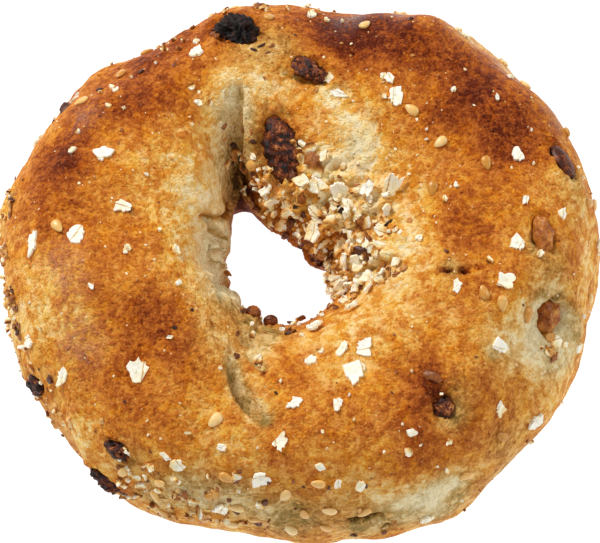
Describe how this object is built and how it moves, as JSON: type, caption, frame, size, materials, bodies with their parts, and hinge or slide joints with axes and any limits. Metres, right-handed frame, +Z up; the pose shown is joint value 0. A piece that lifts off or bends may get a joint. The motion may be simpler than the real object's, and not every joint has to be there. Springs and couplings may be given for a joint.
{
  "type": "bagel",
  "caption": "Whole hand rolled bagel, browned, with a three sided hole, sprinkled with oat flakes and seeds and set with raisins and nuts.",
  "frame": {"origin": "middle of the bagel's plan, on the surface it lies on", "axes": "+Z up through the hole, +X along the longer way across"},
  "size_m": [0.117, 0.109, 0.0402],
  "materials": {
    "crust": "baked bread crust, golden to dark brown, satin",
    "raisin": "dried fruit, wrinkled, dark and slightly glossy",
    "kernel": "toasted kernel, satin",
    "nut": "toasted nut, satin"
  },
  "bodies": {
    "root": {"dough": "crust", "raisin_hole": "raisin", "raisin_burnt": "raisin", "raisin_crown": "raisin", "raisin_pit": "raisin", "raisin_rim": "raisin", "raisin_left": "raisin", "raisin_low": "raisin", "kernel_side": "kernel", "kernel_hole": "kernel", "kernel_throat": "kernel", "nut_low": "nut", "nut_high": "nut"}
  },
  "joints": []
}
